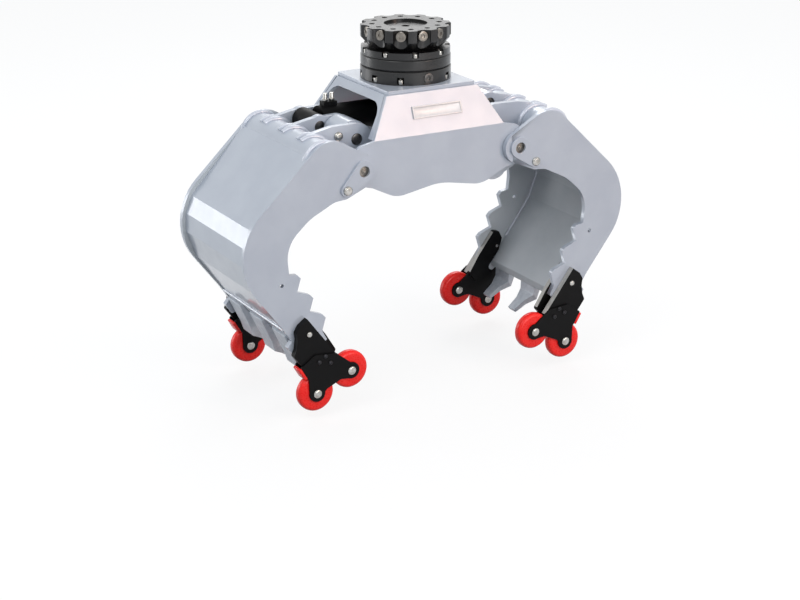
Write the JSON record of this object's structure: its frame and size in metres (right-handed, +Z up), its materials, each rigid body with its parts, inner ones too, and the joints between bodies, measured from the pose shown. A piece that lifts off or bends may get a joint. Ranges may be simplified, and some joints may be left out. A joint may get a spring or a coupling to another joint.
{
  "type": "manhole cover grab",
  "caption": "Hydraulic grab with two linked toothed jaws on a rotator, a hidden cylinder, and red roller brackets at the jaw tips for gripping manhole rings.",
  "frame": {"origin": "centre of the coupling's top face, where the grab bolts to the crane", "axes": "+Z up along the rotator, X in the direction in which the jaws open, Y along the jaw pins"},
  "size_m": [1.2926, 0.5042, 1.058],
  "materials": {
    "grey_paint": "glossy light blue-grey",
    "black_paint": "satin black",
    "zinc": "bright zinc plate",
    "pin_steel": "ground steel",
    "bronze": "plain bronze",
    "hard_chrome": "polished hard chrome",
    "red_polyurethane": "smooth signal red",
    "tooth_steel": "grey, rolled and cast",
    "bare_plate": "blank plate with a raised rim"
  },
  "bodies": {
    "coupling": {"top_coupling": "black_paint", "coupling_screws": "zinc", "swivel_shaft": "black_paint", "flange_bolts": "zinc"},
    "frame": {"rotator_housing": "black_paint", "base_ring": "black_paint", "base_bolts": "zinc", "port_plugs": "zinc", "top_plate": "grey_paint", "front_plate": "grey_paint", "rear_plate": "grey_paint", "end_plates": "grey_paint", "nameplate": "bare_plate", "frame_bushes": "bronze", "manifold": "black_paint", "manifold_fittings": "zinc"},
    "left_jaw": {"left_front_side": "grey_paint", "left_rear_side": "grey_paint", "left_back_sheet": "grey_paint", "left_torque_tube": "grey_paint", "left_lugs": "grey_paint", "left_lip": "grey_paint", "left_digging_teeth": "tooth_steel", "left_jaw_pins": "pin_steel", "left_keepers": "grey_paint", "left_lug_pins": "pin_steel", "left_bolts": "zinc", "left_cheeks": "black_paint", "left_carriers": "black_paint", "left_roller_axles": "zinc", "left_guard_pads": "red_polyurethane"},
    "right_jaw": {"right_front_side": "grey_paint", "right_rear_side": "grey_paint", "right_back_sheet": "grey_paint", "right_torque_tube": "grey_paint", "right_lugs": "grey_paint", "right_lip": "grey_paint", "right_digging_teeth": "tooth_steel", "right_jaw_pins": "pin_steel", "right_keepers": "grey_paint", "right_lug_pins": "pin_steel", "right_bolts": "zinc", "right_cheeks": "black_paint", "right_carriers": "black_paint", "right_roller_axles": "zinc", "right_guard_pads": "red_polyurethane"},
    "cylinder": {"cylinder_barrel": "black_paint", "cylinder_gland": "black_paint", "cylinder_fittings": "zinc"},
    "rod": {"piston": "pin_steel", "piston_rod": "hard_chrome"},
    "link": {"sync_link": "grey_paint"},
    "roller_left_front_inner": {"roller_left_front_inner": "red_polyurethane"},
    "roller_left_front_outer": {"roller_left_front_outer": "red_polyurethane"},
    "roller_left_rear_inner": {"roller_left_rear_inner": "red_polyurethane"},
    "roller_left_rear_outer": {"roller_left_rear_outer": "red_polyurethane"},
    "roller_right_front_inner": {"roller_right_front_inner": "red_polyurethane"},
    "roller_right_front_outer": {"roller_right_front_outer": "red_polyurethane"},
    "roller_right_rear_inner": {"roller_right_rear_inner": "red_polyurethane"},
    "roller_right_rear_outer": {"roller_right_rear_outer": "red_polyurethane"}
  },
  "joints": [
    {"name": "rotator_turn", "type": "hinge", "parent": "coupling", "child": "frame", "pos_m": [0, 0, -0.1], "axis": [0, 0, 1], "continuous": true},
    {"name": "left_jaw_swing", "type": "hinge", "parent": "frame", "child": "left_jaw", "pos_m": [-0.264, 0, -0.362], "axis": [0, -1, 0], "range_deg": [-15, 25]},
    {"name": "right_jaw_swing", "type": "hinge", "parent": "frame", "child": "right_jaw", "pos_m": [0.264, 0, -0.362], "axis": [0, 1, 0], "range_deg": [-15, 25]},
    {"name": "cylinder_swing", "type": "hinge", "parent": "left_jaw", "child": "cylinder", "pos_m": [-0.292, 0.059, -0.275], "axis": [0, -1, 0], "range_deg": [-25, 15]},
    {"name": "rod_stroke", "type": "slide", "parent": "cylinder", "child": "rod", "axis": [1, 0, 0], "range_m": [-0.0435, 0.0725]},
    {"name": "link_swing", "type": "hinge", "parent": "left_jaw", "child": "link", "pos_m": [-0.235, -0.059, -0.293], "axis": [0, -1, 0], "range_deg": [-24.5, 14.7]},
    {"name": "roller_left_front_inner_spin", "type": "hinge", "parent": "left_jaw", "child": "roller_left_front_inner", "pos_m": [-0.321, -0.2253, -0.95], "axis": [0, 1, 0], "continuous": true},
    {"name": "roller_left_front_outer_spin", "type": "hinge", "parent": "left_jaw", "child": "roller_left_front_outer", "pos_m": [-0.434, -0.2253, -1.001], "axis": [0, 1, 0], "continuous": true},
    {"name": "roller_left_rear_inner_spin", "type": "hinge", "parent": "left_jaw", "child": "roller_left_rear_inner", "pos_m": [-0.321, 0.2253, -0.95], "axis": [0, 1, 0], "continuous": true},
    {"name": "roller_left_rear_outer_spin", "type": "hinge", "parent": "left_jaw", "child": "roller_left_rear_outer", "pos_m": [-0.434, 0.2253, -1.001], "axis": [0, 1, 0], "continuous": true},
    {"name": "roller_right_front_inner_spin", "type": "hinge", "parent": "right_jaw", "child": "roller_right_front_inner", "pos_m": [0.321, -0.2253, -0.95], "axis": [0, 1, 0], "continuous": true},
    {"name": "roller_right_front_outer_spin", "type": "hinge", "parent": "right_jaw", "child": "roller_right_front_outer", "pos_m": [0.434, -0.2253, -1.001], "axis": [0, 1, 0], "continuous": true},
    {"name": "roller_right_rear_inner_spin", "type": "hinge", "parent": "right_jaw", "child": "roller_right_rear_inner", "pos_m": [0.321, 0.2253, -0.95], "axis": [0, 1, 0], "continuous": true},
    {"name": "roller_right_rear_outer_spin", "type": "hinge", "parent": "right_jaw", "child": "roller_right_rear_outer", "pos_m": [0.434, 0.2253, -1.001], "axis": [0, 1, 0], "continuous": true}
  ],
  "couplings": [
    {"joint": "right_jaw_swing", "follows": "left_jaw_swing", "ratio": 1},
    {"joint": "cylinder_swing", "follows": "left_jaw_swing", "ratio": -1},
    {"joint": "rod_stroke", "follows": "left_jaw_swing", "m_per_rad": 0.165},
    {"joint": "link_swing", "follows": "left_jaw_swing", "ratio": -0.975}
  ]
}
